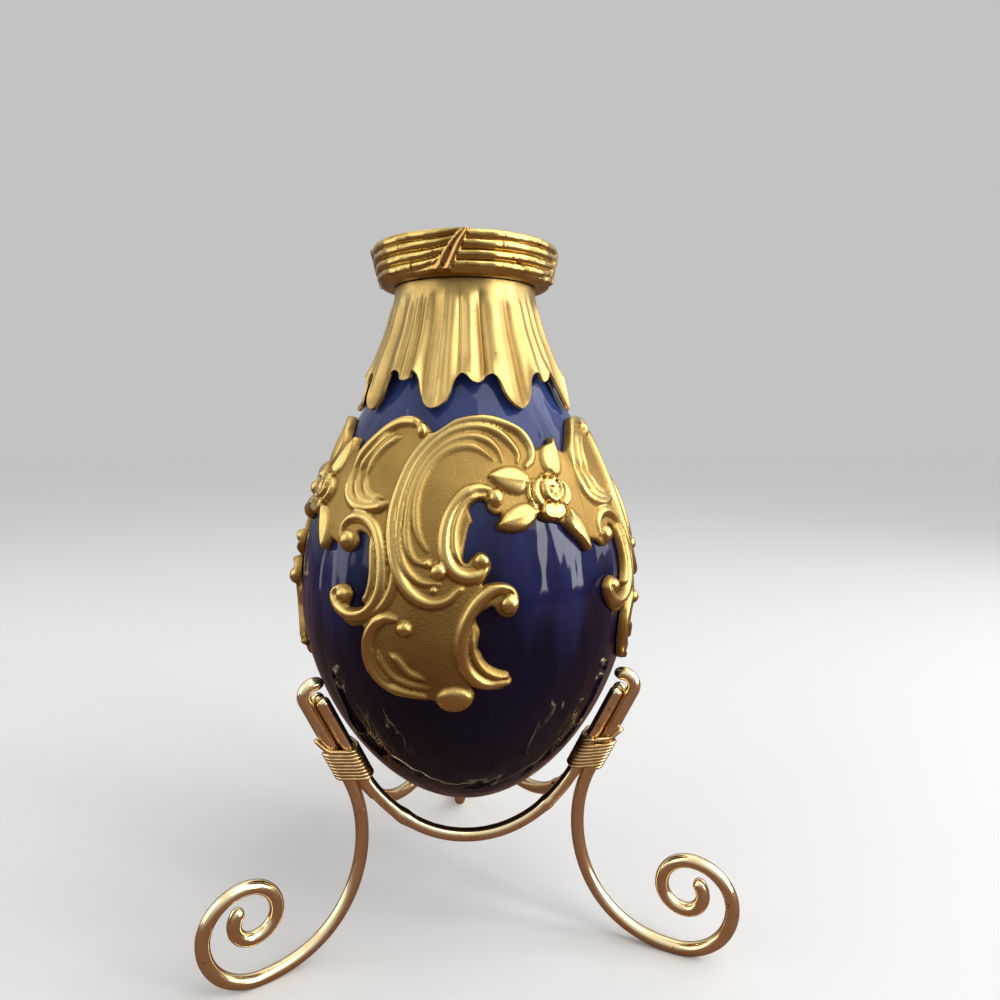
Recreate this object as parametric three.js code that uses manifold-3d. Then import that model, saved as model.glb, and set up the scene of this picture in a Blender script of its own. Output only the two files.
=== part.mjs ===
// Egg vase on a wire stand, in millimetres, +Z up, standing on z = 0.
// A blown glass egg wears stamped gilt mounts and leans on the hooks of a three-legged stand of bent rod.
// Angles round the vase are in degrees, counted from the front (-Y) towards +X.
import * as THREE from 'three';
import { mergeVertices } from 'three/addons/utils/BufferGeometryUtils.js';
import Module from 'manifold-3d';

const wasm = await Module();
wasm.setup();

// Glass egg: the lower curve runs from the bottom to the belly, the upper one from the belly to the neck
const bellyRadius = 45.3;
const bellyHeight = 92.5;
const eggBottomHeight = 33.1;
const bottomSpread = 24;
const bellyDrop = 26;
const bellyRise = 36.75;
const mouthHeight = 183;
const neckRadius = 17.4;
const neckLength = 11;
const neckSweep = 26;
const neckHeight = mouthHeight - neckLength;
const glassWall = 2.6;
const glassSides = 28;
const curveRows = 6;
const fitGap = 0.3;

// The vase stands turned a little in its stand
const vaseTurn = -5.9;

// Stamped girdle: four like panels
const panelCount = 4;
const sheetThickness = 0.8;
const scrollHeight = 2.3;
const scrollHalfWidth = 2.1;
const leafHeight = 2.1;
const ballLift = 1.3;
const ridgeSink = 1;

// Rim ring: four reeds that step outwards to the top, crossed by ribbon ties; it caps the mouth
const ringLip = 2;
const ringDepth = 10.4;
const ringTopHeight = mouthHeight + ringLip;
const ringBottomHeight = ringTopHeight - ringDepth;
const ringRadius = 25;
const ringFlare = 0.4;
const reedCount = 4;
const reedDepth = 0.7;
const coveHeight = 1.3;
const coveInset = 2;
const lipRound = 1;
const ribbonCount = 4;
const firstRibbon = -11;
const ribbonSlant = 15;
const ribbonHalfAngle = 7;
const ribbonHeight = 0.7;

// Neck collar: fluted cuff under the ring, with long and short lobes at its hem
const collarLength = 25.3;
const hemHeight = ringBottomHeight - collarLength;
const lobeCount = 9;
const firstLobe = -11.3;
const longLobeDrop = 7.3;
const shortLobeDrop = 2.2;
const longLobeShare = 0.58;
const collarThickness = 0.8;
const collarStandOff = 1.5;
const collarBulge = 1.2;
const fluteDepth = 0.9;

// Stand: bent rods, three legs and three swags
const cornerAngles = { left: -60, right: 60, back: 180 };
const swagAngles = { front: 0, right: 120, left: -120 };
const rodDiameter = 3.5;
const rodSides = 8;
const restHeight = 73;
const leanPastEgg = 6.8;
const hookBendRadius = 2.75;
const hookTurn = 165;
const strandTop = 1.6;
const strandFoot = 26.5;
const swagLowHeight = 29.4;
const swagOut = 19.5;
const swagRun = 17;
const swagDrop = 3;
const legDrop = 20;
const footRadius = 61;
const footRun = 25.5;
const footFlat = 0.3;
const scrollTurns = [[14, 90], [10.6, 90], [7.4, 90], [6, 90], [4.6, 90], [5, 55]];

// Bindings: fine wire wound round two swag ends and a leg
const wireDiameter = 0.75;
const wirePitch = 1.2;
const wireTurns = 8;
const wireSides = 6;
const stepsPerRod = 5;
const bindingDepth = 21;

const rodRadius = rodDiameter / 2;
const wireRadius = wireDiameter / 2;
const radians = THREE.MathUtils.degToRad;

const gilt = new THREE.MeshStandardMaterial({ color: 0xd3a442, roughness: 0.25, metalness: 1 });
const satinGilt = new THREE.MeshStandardMaterial({ color: 0xb88d42, roughness: 0.45, metalness: 1 });
const cobaltGlass = new THREE.MeshStandardMaterial({ color: 0x16225c, roughness: 0.05, metalness: 0 });

// Solids and geometry
function solidOf(geometry) {
  const bare = geometry.clone();
  bare.deleteAttribute('normal');
  bare.deleteAttribute('uv');
  const merged = mergeVertices(bare, 1e-4);
  const corners = Array.from(merged.index.array);
  const triangles = [];
  for (let i = 0; i < corners.length; i += 3) {
    const [a, b, c] = corners.slice(i, i + 3);
    if (a !== b && b !== c && c !== a) {
      triangles.push(a, b, c);
    }
  }
  const vertProperties = new Float32Array(merged.attributes.position.array);
  const triVerts = new Uint32Array(triangles);
  return new wasm.Manifold(new wasm.Mesh({ numProp: 3, vertProperties, triVerts }));
}

function geometryOf(solid) {
  const mesh = solid.getMesh();
  const geometry = new THREE.BufferGeometry();
  geometry.setAttribute('position', new THREE.BufferAttribute(new Float32Array(mesh.vertProperties), 3));
  geometry.setIndex(Array.from(mesh.triVerts));
  geometry.computeVertexNormals();
  return geometry;
}

function signedVolume(positions, index) {
  let volume = 0;
  for (let i = 0; i < index.length; i += 3) {
    const [a, b, c] = index.slice(i, i + 3).map((k) => positions[k]);
    volume += a.dot(b.clone().cross(c)) / 6;
  }
  return volume;
}

// A closed skin through rings of points: an open run of rings gets end caps
function loft(rings, closed = false) {
  const count = rings[0].length;
  const positions = rings.flat();
  const index = [];
  const spans = closed ? rings.length : rings.length - 1;
  for (let i = 0; i < spans; i += 1) {
    const next = (i + 1) % rings.length;
    for (let j = 0; j < count; j += 1) {
      const k = (j + 1) % count;
      index.push(i * count + j, next * count + j, i * count + k);
      index.push(i * count + k, next * count + j, next * count + k);
    }
  }
  if (!closed) {
    const last = (rings.length - 1) * count;
    for (let j = 1; j < count - 1; j += 1) {
      index.push(0, j, j + 1);
      index.push(last, last + j + 1, last + j);
    }
  }
  if (signedVolume(positions, index) < 0) {
    index.reverse();
  }
  const geometry = new THREE.BufferGeometry().setFromPoints(positions);
  geometry.setIndex(index);
  geometry.computeVertexNormals();
  return geometry;
}

function revolve(profile) {
  return new THREE.LatheGeometry(profile, glassSides).rotateX(Math.PI / 2);
}

function polar(angle, radius, height) {
  const turn = radians(angle);
  return new THREE.Vector3(radius * Math.sin(turn), -radius * Math.cos(turn), height);
}

// Egg profile
const lowerCurve = new THREE.CubicBezierCurve(
  new THREE.Vector2(0, eggBottomHeight),
  new THREE.Vector2(bottomSpread, eggBottomHeight),
  new THREE.Vector2(bellyRadius, bellyHeight - bellyDrop),
  new THREE.Vector2(bellyRadius, bellyHeight),
);
const upperCurve = new THREE.CubicBezierCurve(
  new THREE.Vector2(bellyRadius, bellyHeight),
  new THREE.Vector2(bellyRadius, bellyHeight + bellyRise),
  new THREE.Vector2(neckRadius, neckHeight - neckSweep),
  new THREE.Vector2(neckRadius, neckHeight),
);

// The profile moved out along its normals by an offset, from the bottom to the neck
function eggProfile(offset, lowerSteps, upperSteps) {
  const lower = Array.from({ length: lowerSteps }, (_, i) => [lowerCurve, i / lowerSteps]);
  const upper = Array.from({ length: upperSteps + 1 }, (_, i) => [upperCurve, i / upperSteps]);
  return [...lower, ...upper].map(([curve, t]) => {
    const along = curve.getTangent(t);
    const point = curve.getPoint(t);
    return new THREE.Vector2(point.x + offset * along.y, point.y - offset * along.x);
  });
}

const finePoints = [...eggProfile(0, 60, 60), new THREE.Vector2(neckRadius, mouthHeight)];

// Radius, outward normal and upward direction of the egg at a height, in the (radius, height) plane
function eggAt(height, profile = finePoints) {
  const i = profile.findIndex((point) => point.y > height);
  const [below, above] = [profile[i - 1], profile[i]];
  const share = (height - below.y) / (above.y - below.y);
  const up = above.clone().sub(below).normalize();
  return { radius: below.x + share * (above.x - below.x), up, normal: new THREE.Vector2(up.y, -up.x) };
}

function onEgg(angle, height, lift) {
  const { radius, normal } = eggAt(height);
  return polar(angle, radius + lift * normal.x, height + lift * normal.y);
}

function makeGlass() {
  const outer = eggProfile(0, curveRows, curveRows);
  const inner = eggProfile(-glassWall, curveRows - 1, curveRows - 2).reverse();
  inner[inner.length - 1].x = 0;
  const mouth = [
    new THREE.Vector2(neckRadius, mouthHeight),
    new THREE.Vector2(neckRadius - glassWall, mouthHeight),
  ];
  return revolve([...outer, ...mouth, ...inner]);
}

// The girdle's pattern is drawn for these heights of the belly and of the lobes above it,
// and stretches with the room that the egg has between them
const drawnHeights = [92.5, 142];
const girdleStretch = (hemHeight - longLobeDrop - bellyHeight) / (drawnHeights[1] - drawnHeights[0]);

function girdleHeight(drawn) {
  return bellyHeight + (drawn - drawnHeights[0]) * girdleStretch;
}

// A raised ridge on the egg along a drawn path of [angle, height], its foot sunk below the glass
function ridge(drawnPath, halfWidth, height, widthAt) {
  const path = drawnPath.map(([angle, drawn]) => [angle, girdleHeight(drawn)]);
  const rings = path.map(([angle, z], i) => {
    const [a0, z0] = path[Math.max(i - 1, 0)];
    const [a1, z1] = path[Math.min(i + 1, path.length - 1)];
    const foot = onEgg(angle, z, -ridgeSink);
    const out = onEgg(angle, z, 1).sub(onEgg(angle, z, 0)).normalize();
    const along = onEgg(a1, z1, 0).sub(onEgg(a0, z0, 0)).normalize();
    const side = along.cross(out).normalize();
    const share = widthAt(i / (path.length - 1));
    const corner = (across, rise) => foot.clone().addScaledVector(side, across).addScaledVector(out, rise);
    const half = halfWidth * share;
    return [corner(-half, 0), corner(0, ridgeSink + height * Math.sqrt(share)), corner(half, 0)];
  });
  return solidOf(loft(rings));
}

// Rococo panel: scrolls, leaves and balls as [angle, height], angles counted from the panel's middle
const wingTop = [[-43.5, 127.5], [-40, 132], [-34, 136], [-26, 138.3], [-19.5, 137.9], [-15.5, 136]];
const wingBottom = [[-43.5, 126.5], [-41, 121.3], [-36, 118.8], [-29, 118.3], [-22.5, 119.8]];
const sideCurl = [
  [-36.9, 109.3], [-39.9, 112.4], [-37, 115.6], [-31, 116], [-25.6, 113], [-22.8, 107.5], [-22.4, 102],
  [-25, 97.2], [-31, 94.2], [-37, 95.2], [-39.7, 97.7], [-38, 100],
];
const archRim = [
  [0.5, 101.6], [-4, 98.6], [-10, 98.6], [-16, 102.8], [-19.6, 110], [-20.8, 117], [-19.3, 125],
  [-13.5, 132.7], [-5, 137], [6, 138.8], [17, 138], [24.5, 135.5], [28.2, 131.5], [25.5, 128.4],
];
const bayScroll = [
  [13.5, 120], [11.5, 122.3], [6, 123], [0.2, 120.7], [-3.5, 115], [-3.4, 109], [-0.3, 105], [3.7, 104],
  [7.2, 105], [8.4, 107],
];
const lowerScroll = [
  [13.2, 97.3], [15.9, 98.6], [15, 101.3], [10, 101.3], [4.5, 97.2], [1.8, 91.5], [1.7, 86.5], [4, 82.3],
  [8.5, 80.2], [14.5, 80.2],
];
const pendantRim = [
  [-15.2, 92.6], [-19, 94.6], [-24, 92.8], [-27, 88], [-26.4, 83], [-22, 79], [-15, 77.2], [-8, 76.4],
];
const leaves = [
  [[25, 124.8], [18, 125.3], [10.8, 125.6]],
  [[26, 118.2], [19, 117], [12, 115]],
  [[30.5, 128], [35, 130.6], [39.7, 133.8]],
  [[35.6, 117.4], [39.5, 113.6], [43.2, 108.6]],
];
const leafHalfWidth = 3;
const balls = [
  [-17.2, 135.8, 2], [-36.4, 111.2, 2], [-36, 98.8, 2], [12.4, 120.4, 1.9], [6.8, 107.8, 1.8], [14, 98.4, 2],
];
const drop = [-1, 76.6];
const dropRadius = 3.8;
const rose = [33, 121.2];
const roseRadius = 5;
const budRadius = 2.2;
const seam = 180 / panelCount - 0.4;
const roseField = [
  [31.5, 131], [39.4, 133.2], [seam, 130.5], [seam, 111], [42.4, 109.6], [34.5, 115], [27, 116.2],
  [20, 114.8], [13.6, 115.6], [15.5, 118.6],
];

// The sheet fills what the scrolls enclose, so their own paths bound it
function fieldShape() {
  const outline = [
    ...wingTop,
    ...archRim.slice(7, 13),
    ...roseField,
    ...bayScroll.slice(1, 9),
    ...lowerScroll.slice(4, 9),
    [4.2, 78.2], [1, 74.6], [-4, 74.8],
    ...pendantRim.slice(1).reverse(),
    ...sideCurl.slice(2, 7).reverse(),
    [-seam, 116], [-seam, 127.5],
  ];
  return new THREE.Shape(outline.map(([angle, drawn]) => new THREE.Vector2(angle, girdleHeight(drawn))));
}

// The field's outline carried out from the axis as a wedge
function fieldWedge() {
  const geometry = new THREE.ExtrudeGeometry(fieldShape(), { depth: 1, bevelEnabled: false });
  const position = geometry.attributes.position;
  for (let i = 0; i < position.count; i += 1) {
    const radius = position.getZ(i) < 0.5 ? neckRadius / 2 : bellyRadius * 2;
    const point = polar(position.getX(i), radius, position.getY(i));
    position.setXYZ(i, point.x, point.y, point.z);
  }
  return solidOf(geometry);
}

function eggBody(offset) {
  const profile = eggProfile(offset, curveRows, curveRows);
  profile[0].x = 0;
  profile.push(new THREE.Vector2(0, profile[profile.length - 1].y));
  return solidOf(revolve(profile));
}

// A small ornament turned so that its +Z points out of the egg
function stud(geometry, angle, drawn, lift) {
  const height = girdleHeight(drawn);
  const out = onEgg(angle, height, 1).sub(onEgg(angle, height, 0));
  const turn = new THREE.Quaternion().setFromUnitVectors(new THREE.Vector3(0, 0, 1), out.normalize());
  const place = onEgg(angle, height, lift);
  return solidOf(geometry.applyQuaternion(turn).translate(place.x, place.y, place.z));
}

function makePanel() {
  const scrollWidth = (t) => 0.55 + 0.45 * Math.sin(Math.PI * Math.min(Math.max(t, 0.02), 0.98));
  const leafWidth = (t) => 0.25 + 0.75 * Math.sin(Math.PI * (0.12 + 0.83 * t));
  let panel = fieldWedge().intersect(eggBody(fitGap + sheetThickness));
  for (const path of [wingTop, wingBottom, sideCurl, archRim, bayScroll, lowerScroll, pendantRim]) {
    panel = panel.add(ridge(path, scrollHalfWidth, scrollHeight, scrollWidth));
  }
  for (const path of leaves) {
    panel = panel.add(ridge(path, leafHalfWidth, leafHeight, leafWidth));
  }
  for (const [angle, height, radius] of balls) {
    panel = panel.add(stud(new THREE.IcosahedronGeometry(radius), angle, height, ballLift));
  }
  const dropBead = new THREE.IcosahedronGeometry(dropRadius).scale(1, 0.85, 0.6);
  panel = panel.add(stud(dropBead, ...drop, fitGap));
  const cup = new THREE.SphereGeometry(roseRadius, 8, 4).rotateX(Math.PI / 2).scale(1, 1, 0.55);
  panel = panel.add(stud(cup, ...rose, fitGap));
  const bud = new THREE.IcosahedronGeometry(budRadius);
  panel = panel.add(stud(bud, ...rose, scrollHeight));
  return geometryOf(panel.subtract(eggBody(fitGap)));
}

// Depth of the hem below the notches, at a share (0 to 1) of one long lobe and one short lobe
function lobeDrop(share) {
  const inLong = share < longLobeShare;
  const t = inLong ? share / longLobeShare : (share - longLobeShare) / (1 - longLobeShare);
  return (inLong ? longLobeDrop : shortLobeDrop) * Math.sqrt(Math.max(1 - (2 * t - 1) ** 2, 0));
}

function makeCollar() {
  const topHeight = ringBottomHeight - fitGap;
  const shares = [0, 0.05, 0.17, 0.29, 0.41, 0.53, 0.58, 0.68, 0.9];
  const rows = [0, 0.4, 0.75, 1];
  const rings = [];
  for (let lobe = 0; lobe < lobeCount; lobe += 1) {
    for (const share of shares) {
      const angle = firstLobe + (360 / lobeCount) * (lobe + share - longLobeShare / 2);
      const hem = hemHeight - lobeDrop(share);
      const flute = Math.cos(2 * Math.PI * (share - longLobeShare / 2) * 2);
      const skin = (row, inset) => {
        const height = topHeight + row * (hem - topHeight);
        const bulge = collarBulge * Math.sin(Math.PI * row);
        const fold = fluteDepth * row * (0.5 + 0.5 * flute);
        return polar(angle, eggAt(height).radius + collarStandOff + bulge + fold - inset, height);
      };
      const outside = rows.map((row) => skin(row, 0));
      const inside = rows.map((row) => skin(row, collarThickness)).reverse();
      rings.push([...outside, ...inside]);
    }
  }
  return loft(rings, true);
}

const reedPitch = (ringTopHeight - ringBottomHeight - coveHeight - lipRound) / reedCount;

function reedCrest(height) {
  const reedsBelowTop = (ringTopHeight - lipRound - height) / reedPitch;
  return ringRadius - ringFlare * Math.max(reedsBelowTop - 0.5, 0);
}

function makeRing() {
  const bore = neckRadius + fitGap;
  const collarTopRadius = neckRadius + collarStandOff;
  const reedStart = ringBottomHeight + coveHeight;
  const profile = [[bore, ringBottomHeight], [collarTopRadius + coveInset, ringBottomHeight]];
  for (let i = 0; i <= reedCount * 3; i += 1) {
    const height = reedStart + (reedPitch * i) / 3;
    const sink = i % 3 === 0 ? reedDepth : 0;
    profile.push([reedCrest(height) - sink, height]);
  }
  profile.push([ringRadius - lipRound * 1.6, ringTopHeight], [bore + lipRound, ringTopHeight]);
  profile.push([bore, ringTopHeight - lipRound], [bore, ringBottomHeight]);
  let ring = solidOf(revolve(profile.map(([radius, height]) => new THREE.Vector2(radius, height))));
  for (let i = 0; i < ribbonCount; i += 1) {
    const middle = firstRibbon + (360 / ribbonCount) * i;
    const ribbonEnd = (angle, height) => {
      const at = (side, lift) => polar(angle + ribbonHalfAngle * side, reedCrest(height) + lift, height);
      return [at(-1, -reedDepth), at(-0.7, ribbonHeight), at(0.7, ribbonHeight), at(1, -reedDepth)];
    };
    const bottom = ribbonEnd(middle - ribbonSlant / 2, reedStart + lipRound / 2);
    const top = ribbonEnd(middle + ribbonSlant / 2, ringTopHeight - lipRound);
    ring = ring.add(solidOf(loft([bottom, top])));
  }
  return geometryOf(ring);
}

// A rod bent through points, with one ring of its skin at each point
class BentRod extends THREE.CatmullRomCurve3 {
  getUtoTmapping(u) {
    return u;
  }
}

function rodAlong(points, radius, sides) {
  const section = new THREE.Shape().absarc(0, 0, radius, 0, 2 * Math.PI);
  return new THREE.ExtrudeGeometry(section, {
    steps: points.length - 1,
    curveSegments: sides / 2,
    extrudePath: new BentRod(points, false, 'centripetal'),
  });
}

// Each leg ends in a hook whose tip carries the egg; the swag ends run up beside the leg, under the hook.
// In the upright plane of a corner, run counts up the leaning rods from the hook's bend
const strandHalfGap = (rodDiameter + fitGap) / 2;
const legOffset = strandHalfGap * Math.sqrt(3);
const rest = eggAt(restHeight, eggProfile(0, curveRows, curveRows));
const lean = Math.atan2(rest.up.x, rest.up.y) + radians(leanPastEgg);
const alongRods = new THREE.Vector2(Math.sin(lean), Math.cos(lean));
const outOfRods = new THREE.Vector2(Math.cos(lean), -Math.sin(lean));
const hookTip = new THREE.Vector2(rest.radius, restHeight).addScaledVector(rest.normal, rodRadius + fitGap);
const bendCentre = hookTip
  .clone()
  .addScaledVector(outOfRods, -hookBendRadius * Math.cos(radians(hookTurn)))
  .addScaledVector(alongRods, -hookBendRadius * Math.sin(radians(hookTurn)));
const strandLine = bendCentre.clone().addScaledVector(outOfRods, hookBendRadius - legOffset);

function strandPoint(run, outwards) {
  return strandLine.clone().addScaledVector(alongRods, run).addScaledVector(outOfRods, outwards);
}

function cornerPoint(corner, flat, sideways) {
  const turn = radians(corner);
  const across = new THREE.Vector3(Math.cos(turn), Math.sin(turn), 0);
  return polar(corner, flat.x, flat.y).addScaledVector(across, sideways);
}

// Half a swag, from its low middle up through the binding to its end under the hook
function halfSwag(middle, corner, sideways) {
  const foot = cornerPoint(corner, strandPoint(-strandFoot, 0), sideways);
  const top = cornerPoint(corner, strandPoint(-strandTop, 0), sideways);
  const up = top.clone().sub(foot).normalize();
  const low = polar(middle, swagOut, swagLowHeight);
  const towards = polar(middle + 90 * Math.sign(corner - middle), swagRun, 0);
  const sweep = new THREE.CubicBezierCurve3(
    low, low.clone().add(towards), foot.clone().addScaledVector(up, -swagDrop), foot,
  );
  return [...sweep.getPoints(9), top];
}

function makeSwag(middle) {
  const right = halfSwag(middle, middle + 60, -strandHalfGap);
  const left = halfSwag(middle, middle - 60, strandHalfGap);
  return rodAlong([...left.reverse(), ...right.slice(1)], rodRadius, rodSides);
}

// Leg: a hook, straight in the binding, a sweep to the floor and a scroll of arcs, in its upright plane
function legPath() {
  const points = [];
  for (let i = 6; i >= 0; i -= 1) {
    const bend = radians((hookTurn * i) / 6);
    const back = hookBendRadius * (1 - Math.cos(bend));
    points.push(strandPoint(hookBendRadius * Math.sin(bend), legOffset - back));
  }
  const floorHeight = rodRadius - footFlat;
  const start = strandPoint(-strandFoot + 1, legOffset);
  const foot = new THREE.Vector2(footRadius, floorHeight);
  const sweep = new THREE.CubicBezierCurve(
    start,
    start.clone().addScaledVector(alongRods, -legDrop),
    new THREE.Vector2(footRadius - footRun, floorHeight),
    foot,
  );
  points.push(...sweep.getPoints(9));
  let heading = 0;
  const at = foot.clone();
  for (const [radius, turn] of scrollTurns) {
    const steps = Math.ceil(turn / 22.5);
    const spoke = (angle) => new THREE.Vector2(radius * Math.sin(angle), -radius * Math.cos(angle));
    const centre = at.clone().sub(spoke(heading));
    for (let i = 1; i <= steps; i += 1) {
      points.push(spoke(heading + radians((turn * i) / steps)).add(centre));
    }
    heading += radians(turn);
    at.copy(points[points.length - 1]);
  }
  return points;
}

function makeLeg(corner) {
  const points = legPath().map((flat) => cornerPoint(corner, flat, 0));
  const reach = 4 * footRadius;
  const floor = new THREE.BoxGeometry(reach, reach, rodDiameter).translate(0, 0, -rodRadius);
  return geometryOf(solidOf(rodAlong(points, rodRadius, rodSides)).subtract(solidOf(floor)));
}

// Wire path round the three rods of a corner, tight round each in turn
function bindingPath(corner) {
  const reach = rodRadius + fitGap + wireRadius;
  const rods = [[legOffset, 0], [0, strandHalfGap], [0, -strandHalfGap]];
  const steps = wireTurns * rods.length * stepsPerRod;
  const points = [];
  for (let i = 0; i <= steps; i += 1) {
    const rod = Math.floor(i / stepsPerRod) % rods.length;
    const angle = radians(-60 + 120 * (rod + (i % stepsPerRod) / (stepsPerRod - 1)));
    const run = -bindingDepth + wirePitch * wireTurns * (i / steps - 0.5);
    const [outwards, sideways] = rods[rod];
    const flat = strandPoint(run, outwards + reach * Math.cos(angle));
    points.push(cornerPoint(corner, flat, sideways + reach * Math.sin(angle)));
  }
  const straightOn = (end, before) => end.clone().sub(before).setLength(wireDiameter).add(end);
  return [straightOn(points[0], points[1]), ...points, straightOn(points.at(-1), points.at(-2))];
}

// Least distance between turns of one wire, measured between points a third of a turn or more apart
function leastGap(points) {
  let least = Infinity;
  for (let i = 0; i < points.length; i += 1) {
    for (let j = i + stepsPerRod; j < points.length; j += 1) {
      least = Math.min(least, points[i].distanceTo(points[j]));
    }
  }
  return least - wireDiameter;
}

function named(name, geometry, material) {
  const mesh = new THREE.Mesh(geometry, material.clone());
  mesh.name = name;
  return mesh;
}

const vase = new THREE.Group();
vase.rotation.z = radians(vaseTurn);
vase.add(named('glass_egg', makeGlass(), cobaltGlass));
vase.add(named('neck_collar', makeCollar(), satinGilt));
vase.add(named('rim_ring', makeRing(), gilt));
const panelGeometry = makePanel();
for (let i = 0; i < panelCount; i += 1) {
  const panel = named(`overlay_${i + 1}`, panelGeometry, satinGilt);
  panel.rotation.z = (2 * Math.PI * i) / panelCount;
  vase.add(panel);
}

const stand = new THREE.Group();
for (const [side, angle] of Object.entries(swagAngles)) {
  stand.add(named(`swag_${side}`, makeSwag(angle), gilt));
}
for (const [side, angle] of Object.entries(cornerAngles)) {
  const wire = bindingPath(angle);
  console.log(`binding_${side}: least gap between turns ${leastGap(wire).toFixed(2)} mm`);
  stand.add(named(`leg_${side}`, makeLeg(angle), gilt));
  stand.add(named(`binding_${side}`, rodAlong(wire, wireRadius, wireSides), gilt));
}

// The origin lies under the middle of the whole, on the table
const assembly = new THREE.Group();
assembly.add(vase, stand);
const middle = new THREE.Box3().setFromObject(assembly, true).getCenter(new THREE.Vector3());
assembly.position.set(-middle.x, -middle.y, 0);

export default assembly;
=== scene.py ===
import math

import bmesh
import bpy
import numpy as np
from mathutils import Matrix, Vector


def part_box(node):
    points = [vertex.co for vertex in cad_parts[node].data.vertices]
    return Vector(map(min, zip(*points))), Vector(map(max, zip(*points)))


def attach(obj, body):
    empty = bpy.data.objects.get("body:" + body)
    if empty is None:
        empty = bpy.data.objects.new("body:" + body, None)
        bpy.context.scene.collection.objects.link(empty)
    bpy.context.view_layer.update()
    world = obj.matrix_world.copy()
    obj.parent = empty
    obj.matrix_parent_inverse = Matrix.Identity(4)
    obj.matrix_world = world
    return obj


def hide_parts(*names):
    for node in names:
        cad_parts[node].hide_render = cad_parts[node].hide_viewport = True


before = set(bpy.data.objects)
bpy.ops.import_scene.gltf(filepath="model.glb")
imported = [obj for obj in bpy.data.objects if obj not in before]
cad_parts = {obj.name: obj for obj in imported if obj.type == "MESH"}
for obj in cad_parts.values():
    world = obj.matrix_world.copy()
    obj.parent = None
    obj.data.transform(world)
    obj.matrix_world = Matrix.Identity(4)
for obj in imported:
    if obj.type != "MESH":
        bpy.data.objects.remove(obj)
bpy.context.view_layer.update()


# Glass egg
# The vessel itself: one blown, pointed egg of dark cobalt glass with a narrow open neck.
# The gilt mounts are cemented to it, and it sits loose on the three hooks of the stand.
# Angles round the vase are degrees from the front towards the right, sizes are millimetres.
millimetre = 0.001
vase_turn = math.radians(-5.9)
egg_bottom = 33.1
bottom_pull = 24
belly_radius = 45.3
belly_height = 92.5
belly_pull_low = 66.5
belly_pull_high = 129.25
neck_radius = 17.4
neck_height = 172
neck_pull = 146
mouth_height = 183
glass_wall = 2.6
lip_radius = glass_wall / 2
lip_height = mouth_height - lip_radius
low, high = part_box("glass_egg")
vase_axis = Vector(((low.x + high.x) / 2, (low.y + high.y) / 2, 0))
place_stand = Matrix.Translation(vase_axis) @ Matrix.Scale(millimetre, 4)
place_vase = place_stand @ Matrix.Rotation(vase_turn, 4, "Z")


def bezier(points, count):
    """Places along a curve from the first to the last of four points, drawn towards the middle two."""
    a, b, c, d = (np.array(p, float) for p in points)
    t = np.linspace(0, 1, count)[:, None]
    return (1 - t) ** 3 * a + 3 * (1 - t) ** 2 * t * b + 3 * (1 - t) * t * t * c + t**3 * d


def spun(profile, steps):
    """A body turned about the upright axis from an outline of radii and heights."""
    bm = bmesh.new()
    verts = [bm.verts.new((radius, 0, height)) for radius, height in profile]
    edges = [bm.edges.new(pair) for pair in zip(verts, verts[1:])]
    bmesh.ops.spin(
        bm, geom=verts + edges, axis=(0, 0, 1), cent=(0, 0, 0), angle=2 * math.pi, steps=steps, use_merge=True
    )
    bmesh.ops.remove_doubles(bm, verts=bm.verts, dist=1e-4)
    bmesh.ops.recalc_face_normals(bm, faces=bm.faces)
    return bm


def make_piece(bm, name, place, material, body, node, crease=50):
    """Puts a finished form in its place, as the piece that shows a node of the frame."""
    bm.transform(place)
    mesh = bpy.data.meshes.new(name)
    bm.to_mesh(mesh)
    bm.free()
    mesh.shade_smooth()
    mesh.set_sharp_from_angle(angle=math.radians(crease))
    mesh.materials.append(material)
    piece = bpy.data.objects.new(name, mesh)
    bpy.context.collection.objects.link(piece)
    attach(piece, body)
    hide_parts(node)


def new_material(name):
    material = bpy.data.materials.new(name)
    material.use_nodes = True
    return material, material.node_tree, material.node_tree.nodes["Principled BSDF"]


def add_node(tree, kind, inputs, **settings):
    node = tree.nodes.new(kind)
    for key, value in settings.items():
        setattr(node, key, value)
    for key, value in inputs.items():
        if isinstance(value, bpy.types.NodeSocket):
            tree.links.new(value, node.inputs[key])
        else:
            node.inputs[key].default_value = value
    return node


def add_ramp(tree, factor, stops):
    node = add_node(tree, "ShaderNodeValToRGB", {"Fac": factor})
    while len(node.color_ramp.elements) < len(stops):
        node.color_ramp.elements.new(0.5)
    for element, (position, colour) in zip(node.color_ramp.elements, stops):
        element.position = position
        element.color = (*colour, 1)
    return node.outputs["Color"]


def add_noise(tree, spot, scale, detail):
    inputs = {"Vector": spot, "Scale": scale, "Detail": detail}
    return add_node(tree, "ShaderNodeTexNoise", inputs).outputs["Fac"]


def add_range(tree, value, to_min, to_max, from_min=0, from_max=1):
    inputs = {"Value": value, "From Min": from_min, "From Max": from_max, "To Min": to_min, "To Max": to_max}
    return add_node(tree, "ShaderNodeMapRange", inputs).outputs["Result"]


def add_math(tree, operation, *values, clamp=False):
    node = add_node(
        tree, "ShaderNodeMath", dict(enumerate(values)), operation=operation, use_clamp=clamp
    )
    return node.outputs["Value"]


def add_mix(tree, share, first, second, blend="MIX"):
    """One colour mixed into another; in this node the colours are sockets 6 and 7, and 2 going out."""
    inputs = {"Factor": share, 6: first, 7: second}
    return add_node(tree, "ShaderNodeMix", inputs, data_type="RGBA", blend_type=blend).outputs[2]


def set_finish(tree, shader, colour, roughness, metallic=1):
    tree.links.new(colour, shader.inputs["Base Color"])
    tree.links.new(roughness, shader.inputs["Roughness"])
    shader.inputs["Metallic"].default_value = metallic


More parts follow.
